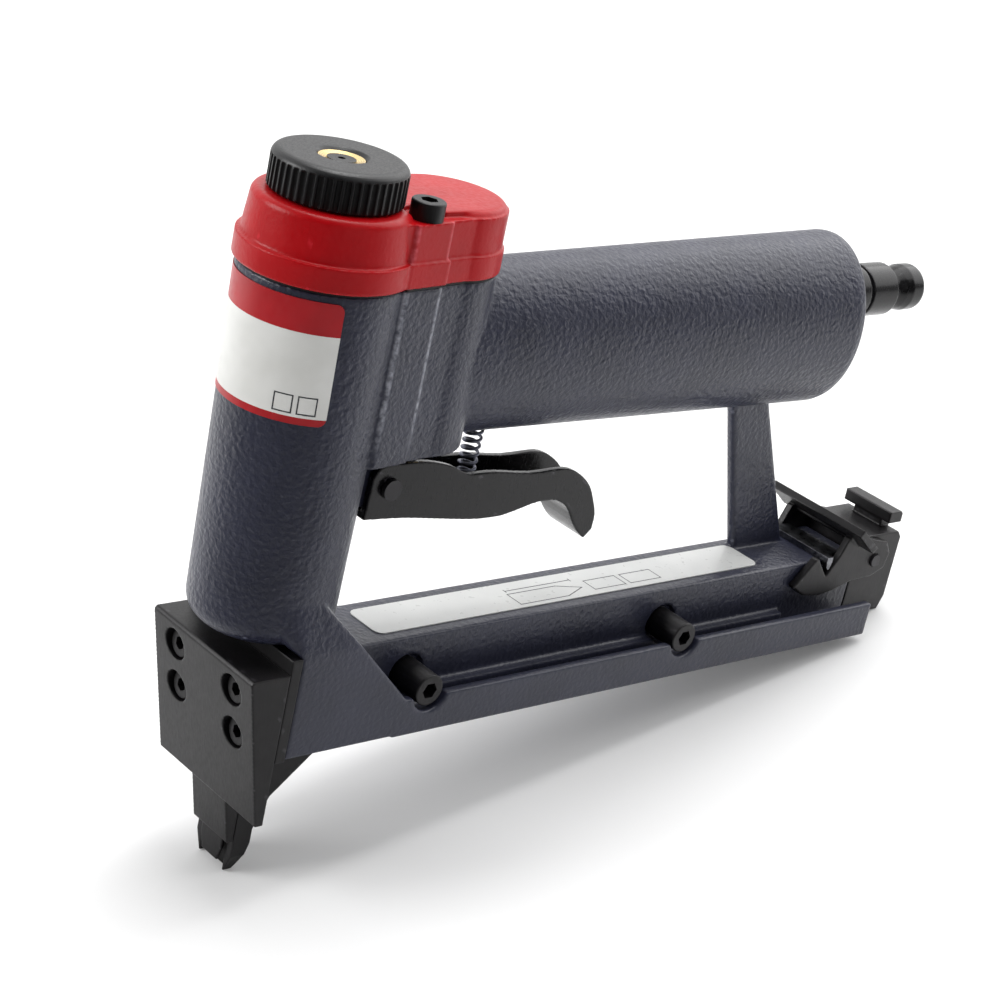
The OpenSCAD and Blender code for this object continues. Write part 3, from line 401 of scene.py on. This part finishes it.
FINISH_OF_SLOT = {"hammered_paint": slate, "red_paint": red, "black_oxide": oxide, "bright_steel": steel,
                  "brass": brass, "black_plastic": nylon, "rubber": rubber}
for entry in frame["record"]["subparts"]:
    node = nodes[entry["node"]]
    node.data.materials.clear()
    node.data.materials.append(FINISH_OF_SLOT[entry["material_slot"]])
# the latch's rivet is blackened with the lever around it
nodes["latch_pin"].data.materials[0] = oxide


# Cast and pressed pieces with eased edges: remesh size in millimetres, smoothing passes, share of faces kept

eased("body_casting", "cast_body", slate, 0.4, 6, 0.21)
eased("cylinder_cap", "cast_cap", red, 0.25, 4, 0.4)
eased("power_knob", "ribbed_knob", nylon, 0.13, 2, 0.4)
eased("nose_plate", "nose_front", oxide, 0.22, 3, 0.3)
eased("guide_plate", "nose_backing", oxide, 0.22, 2, 0.3)
eased("driver_guide", "nose_guide", oxide, 0.2, 3, 0.3)
eased("trigger", "pressed_trigger", gloss_black, 0.22, 4, 0.4)
eased("latch_lever", "pressed_latch", oxide, 0.22, 3, 0.4)
eased("drawer_end", "drawer_block", oxide, 0.22, 4, 0.3)
eased("latch_catch", "bent_catch", worn_steel, 0.16, 3, 0.4)
eased("air_plug", "turned_plug", gloss_black, 0.2, 2, 0.4)


# Wound springs

def wound(node, name, finish, radius, wire, turns, along):
    """A round-wire spring with closed ends, wound along Z or X in the room of its CAD node."""
    low, high = (Vector(corner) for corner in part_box(node))
    span = high[along] - low[along] - wire * MM
    steps = 28
    sides = 12
    deselect()
    bpy.ops.mesh.primitive_circle_add(vertices=sides, radius=wire / 2 * MM, location=(radius * MM, 0, 0),
                                      rotation=(math.pi / 2, 0, 0))
    spring = bpy.context.object
    bpy.ops.object.transform_apply(location=True, rotation=True, scale=True)
    shape(spring, "SCREW", axis="Z", angle=2 * math.pi, screw_offset=span / turns, iterations=turns,
          steps=steps, render_steps=steps, use_merge_vertices=False)
    # the end turns lie almost against each other, and the turns between share the rest
    closed = min(0.8, turns * 0.2)
    flat = closed * wire * 1.12 * MM
    ring = len(spring.data.vertices) // sides
    for i, vertex in enumerate(spring.data.vertices):
        turn = turns * (i // sides) / (ring - 1)
        even = span * turn / turns
        if turn < closed:
            wanted = flat * turn / closed
        elif turn > turns - closed:
            wanted = span - flat * (turns - turn) / closed
        else:
            wanted = flat + (span - 2 * flat) * (turn - closed) / (turns - 2 * closed)
        vertex.co.z += wanted - even
    edit_all()
    bpy.ops.mesh.fill_holes(sides=sides)
    bpy.ops.mesh.select_all(action="SELECT")
    bpy.ops.mesh.normals_make_consistent(inside=False)
    bpy.ops.object.mode_set(mode="OBJECT")
    middle = (low + high) / 2
    middle[along] = low[along] + wire / 2 * MM
    turned = Matrix.Rotation(math.pi / 2, 4, "Y") if along == 0 else Matrix.Identity(4)
    spring.data.transform(Matrix.Translation(middle) @ turned)
    take(spring)
    bpy.ops.object.shade_smooth_by_angle(angle=math.radians(50))
    settle(spring, name, nodes[node]["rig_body"], finish)
    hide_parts(node)
    return spring, low, high


return_spring, foot, top = wound("trigger_spring", "trigger_return_spring", spring_steel, 1.75, 0.7, 12, 2)
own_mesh(return_spring)
follower_spring, foot, top = wound("pusher_spring", "pusher_drive_spring", spring_steel, 1.9, 0.6, 40, 0)
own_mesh(follower_spring)
stem_spring, foot, top = wound("valve_spring", "valve_return_spring", spring_steel, 2.3, 0.6, 4, 2)
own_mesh(stem_spring)
head_spring, foot, top = wound("head_valve_spring", "head_return_spring", spring_steel, 9, 0.8, 2, 2)
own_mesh(head_spring)


# Brass dish and plug of the knob

def turned_button(name, low, high, radius, lip, slope, sink, finish):
    """A round button on the knob's core with a flat lip and a sunk middle, as a lathe leaves it."""
    deselect()
    bpy.ops.mesh.primitive_cylinder_add(vertices=64, radius=radius * MM, depth=(high - low) * MM,
                                        location=at(0, 0, (low + high) / 2))
    piece = bpy.context.object
    bpy.ops.object.transform_apply(location=True, rotation=True, scale=True)
    lid = max(piece.data.polygons, key=lambda face: face.center.z).index
    bpy.ops.object.mode_set(mode="EDIT")
    bpy.ops.mesh.select_mode(type="FACE")
    bpy.ops.mesh.select_all(action="DESELECT")
    bpy.ops.object.mode_set(mode="OBJECT")
    piece.data.polygons[lid].select = True
    bpy.ops.object.mode_set(mode="EDIT")
    bpy.ops.mesh.inset(thickness=lip * MM)
    bpy.ops.mesh.inset(thickness=slope * MM, depth=-sink * MM)
    bpy.ops.object.mode_set(mode="OBJECT")
    take(piece)
    bpy.ops.object.shade_smooth_by_angle(angle=math.radians(12))
    settle(piece, name, nodes["knob_core"]["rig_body"], finish)


turned_button("core_dish", low=116.5, high=117.15, radius=4.42, lip=0.12, slope=1.5, sink=0.45,
              finish=brass)
turned_button("knob_plug", low=116.6, high=117, radius=2.75, lip=2, slope=0.05, sink=0.28,
              finish=nylon)


# Stickers

STICKER_FOOT = 70.5
STICKER_HEAD = 94.5
STICKER_HALF = 19.7


def sheet(width, length, corner):
    """A flat sheet with rounded corners around the origin, left in edit mode."""
    deselect()
    bpy.ops.mesh.primitive_plane_add(size=1)
    edit_all()
    bpy.ops.transform.resize(value=(width * MM, length * MM, 1))
    bpy.ops.mesh.bevel(offset=corner * MM, segments=6, affect="VERTICES")
    return bpy.context.object


def wrap(piece, lift):
    """Bends a flat sheet round the front of the tapered barrel, its x along the arc and its y up."""
    for vertex in piece.data.vertices:
        z = vertex.co.y / MM
        turn = vertex.co.x / (barrel_radius(z) * MM)
        out = barrel_radius(z) + lift
        vertex.co = at(-out * math.cos(turn), -out * math.sin(turn), z)


def barrel_sticker():
    """Banded sticker wrapped round the front of the tapered barrel."""
    piece = sheet(2 * STICKER_HALF, STICKER_HEAD - STICKER_FOOT, 1.6)
    strips = 56
    for i in range(1, strips):
        cut = STICKER_HALF * (2 * i / strips - 1) * MM
        bpy.ops.mesh.select_all(action="SELECT")
        bpy.ops.mesh.bisect(plane_co=(cut, 0, 0), plane_no=(1, 0, 0))
    bpy.ops.object.mode_set(mode="OBJECT")
    piece.data.transform(Matrix.Translation((0, (STICKER_FOOT + STICKER_HEAD) / 2 * MM, 0)))
    wrap(piece, -0.02)
    shape(piece, "SOLIDIFY", thickness=0.2 * MM, offset=1)
    bpy.ops.object.shade_smooth_by_angle(angle=math.radians(40))
    settle(piece, "barrel_sticker", "base", bands)
    return piece


def arm_sticker():
    """Plain sticker along the top of the magazine arm."""
    piece = sheet(113.8, 10.8, 2)
    bpy.ops.object.mode_set(mode="OBJECT")
    piece.data.transform(Matrix.Translation(at(84.2, -0.1, 17.55)))
    shape(piece, "SOLIDIFY", thickness=0.27 * MM, offset=1)
    settle(piece, "arm_sticker", "base", film)
    return piece


def stroke(x0, y0, x1, y1):
    """One printed line between two places of a flat sheet, in millimetres."""
    deselect()
    bpy.ops.mesh.primitive_plane_add(size=1)
    line = bpy.context.object
    length = math.hypot(x1 - x0, y1 - y0) + 0.26
    line.data.transform(Matrix.Diagonal((length * MM, 0.26 * MM, 1, 1)))
    line.data.transform(Matrix.Rotation(math.atan2(y1 - y0, x1 - x0), 4, "Z"))
    line.data.transform(Matrix.Translation(((x0 + x1) / 2 * MM, (y0 + y1) / 2 * MM, 0)))
    return line


def outline(points):
    """Printed lines round a closed figure."""
    return [stroke(*points[i - 1], *points[i]) for i in range(len(points))]


def joined(lines):
    """Several printed lines as one piece, which is active."""
    deselect()
    for line in lines:
        line.select_set(True)
    bpy.context.view_layer.objects.active = lines[0]
    bpy.ops.object.join()
    return lines[0]


def print_marks():
    """Plain line figures on the stickers: a pointed tab with its size line, and empty boxes."""
    tab = outline([(67.5, -4.2), (81.5, -4.2), (87.5, -1.8), (81.5, 0.6), (67.5, 0.6)])
    size_line = [stroke(68, 2, 87, 2), stroke(68, 1.5, 68, 2.5), stroke(87, 1.5, 87, 2.5)]
    boxes = outline([(90, -3.6), (99.4, -3.6), (99.4, 0.6), (90, 0.6)])
    boxes += outline([(101, -3.6), (110.4, -3.6), (110.4, 0.6), (101, 0.6)])
    marks = joined(tab + size_line + boxes)
    marks.data.transform(Matrix.Translation(at(0, 0, 17.835)))
    settle(marks, "arm_print", "base", line_ink)
    squares = outline([(9.5, 72.6), (12.9, 72.6), (12.9, 76), (9.5, 76)])
    squares += outline([(14, 72.6), (17.4, 72.6), (17.4, 76), (14, 76)])
    marks = joined(squares)
    edit_all()
    bpy.ops.mesh.subdivide(number_cuts=5)
    bpy.ops.object.mode_set(mode="OBJECT")
    wrap(marks, 0.21)
    settle(marks, "barrel_print", "base", line_ink)


barrel_sticker()
arm_sticker()
print_marks()


# Floor, light and camera

# which way the photographer stands, level, and which way the bright backdrop lies
CAMERA_SIDE = Vector((-0.709, -0.706, 0))
BACKDROP = Vector((0.656, 0.656, 0.374))


def soft_floor():
    """A pale paper floor under the nose tip and the drawer's end, which keeps the shadow."""
    deselect()
    bpy.ops.mesh.primitive_grid_add(x_subdivisions=2, y_subdivisions=2, size=8)
    floor = bpy.context.object
    floor.name = "paper_floor"
    tip = at(0.9, 0, -RAIL_UP)
    heel = at(187, 0, 0.6)
    tilt = math.atan2(heel.z - tip.z, heel.x - tip.x)
    floor.data.transform(Matrix.Translation(tip) @ Matrix.Rotation(-tilt, 4, "Y"))
    finish, shader = new_finish("white_paper")
    add(finish, shader, {"Base Color": linear("#f2f2f2"), "Roughness": 0.9})
    path = add(finish, "LightPath")
    # the far paper is plain white for the camera, and near the tool it keeps the shadow
    spot = add(finish, "NewGeometry")
    away = add(finish, "VectorMath", {"operation": "LENGTH"}, {0: (spot, "Position")})
    white = add(finish, "MapRange", {"From Min": 0.3, "From Max": 0.8, "To Min": 0.1, "To Max": 1},
                {"Value": (away, "Value")})
    share = add(finish, "Math", {"operation": "MULTIPLY"},
                {0: (path, "Is Camera Ray"), 1: (white, "Result")})
    glow = add(finish, "Emission", {"Color": (1, 1, 1, 1), "Strength": 1.0})
    lit = add(finish, "MixShader", {}, {0: (share, "Value"), 1: (shader, "BSDF"), 2: (glow, "Emission")})
    # in reflections the paper in front of the tool is painted black, a painted dark reflection, so the
    # barrel's front stays dark
    ahead = add(finish, "VectorMath", {"operation": "DOT_PRODUCT", 1: CAMERA_SIDE}, {0: (spot, "Position")})
    reflection_blackout = add(finish, "MapRange", {"From Min": -0.03, "From Max": 0.24, "To Max": 0.9,
                                     "interpolation_type": "SMOOTHSTEP"}, {"Value": (ahead, "Value")})
    dim = add(finish, "Math", {"operation": "MULTIPLY"}, {0: (reflection_blackout, "Result"), 1: (path, "Is Glossy Ray")})
    dark = add(finish, "Emission", {"Color": (1, 1, 1, 1), "Strength": 0.0})
    blend = add(finish, "MixShader", {}, {0: (dim, "Value"), 1: (lit, "Shader"), 2: (dark, "Emission")})
    out = finish.node_tree.nodes["Material Output"]
    add(finish, out, {}, {"Surface": (blend, "Shader")})
    floor.data.materials.append(finish)


def softbox(name, place, size, power):
    """A square soft light aimed at the middle of the tool."""
    lamp = bpy.data.lights.new(name, "AREA")
    lamp.size = size
    lamp.energy = power
    box = bpy.data.objects.new(name, lamp)
    box.location = place
    box.rotation_euler = (Vector((0, 0, 0.07)) - Vector(place)).to_track_quat("-Z", "Y").to_euler()
    bpy.context.scene.collection.objects.link(box)


def studio():
    """A white backdrop for the camera, in a room bright behind the tool and dark on the other side."""
    world = bpy.data.worlds.new("studio")
    bpy.context.scene.world = world
    world.use_nodes = True
    path = add(world, "LightPath")
    sight = add(world, "TexCoord")
    behind = add(world, "VectorMath", {"operation": "DOT_PRODUCT", 1: BACKDROP}, {0: (sight, "Generated")})
    room = add(world, "MapRange", {"From Min": -0.2, "From Max": 0.95, "To Min": 0.07, "To Max": 1.3,
                                   "interpolation_type": "SMOOTHSTEP"}, {"Value": (behind, "Value")})
    seen = add(world, "Math", {"operation": "MAXIMUM"},
               {0: (path, "Is Camera Ray"), 1: (path, "Is Transmission Ray")})
    level = add(world, "Mix", {"data_type": "FLOAT", 3: 1.0}, {0: (seen, "Value"), 2: (room, "Result")})
    add(world, world.node_tree.nodes["Background"], {"Color": (1, 1, 1, 1)}, {"Strength": (level, 0)})


soft_floor()
studio()
softbox("main_softbox", (0.64, -0.06, 0.9), 1.25, 7.8)
softbox("top_softbox", (0, 0.1, 1.0), 0.45, 5)
softbox("left_softbox", (-0.8, 0.45, 0.4), 0.5, 5.5)
softbox("front_fill", (-0.1, -0.9, 0.5), 0.6, 0.6)

lens = bpy.data.cameras.new("photo_camera")
lens.sensor_fit = "HORIZONTAL"
lens.sensor_width = 36
lens.lens = 87.726
camera = bpy.data.objects.new("photo_camera", lens)
right = Vector((0.74636, -0.63479, 0.19998))
down = Vector((-0.10727, -0.41128, -0.90517))
forward = Vector((0.65684, 0.65414, -0.37506))
turned = Matrix((right, -down, -forward)).transposed().to_4x4()
camera.matrix_world = Matrix.Translation((-0.36092, -0.3324, 0.26446)) @ turned
bpy.context.scene.collection.objects.link(camera)
bpy.context.scene.camera = camera
bpy.context.scene.view_settings.view_transform = "Standard"
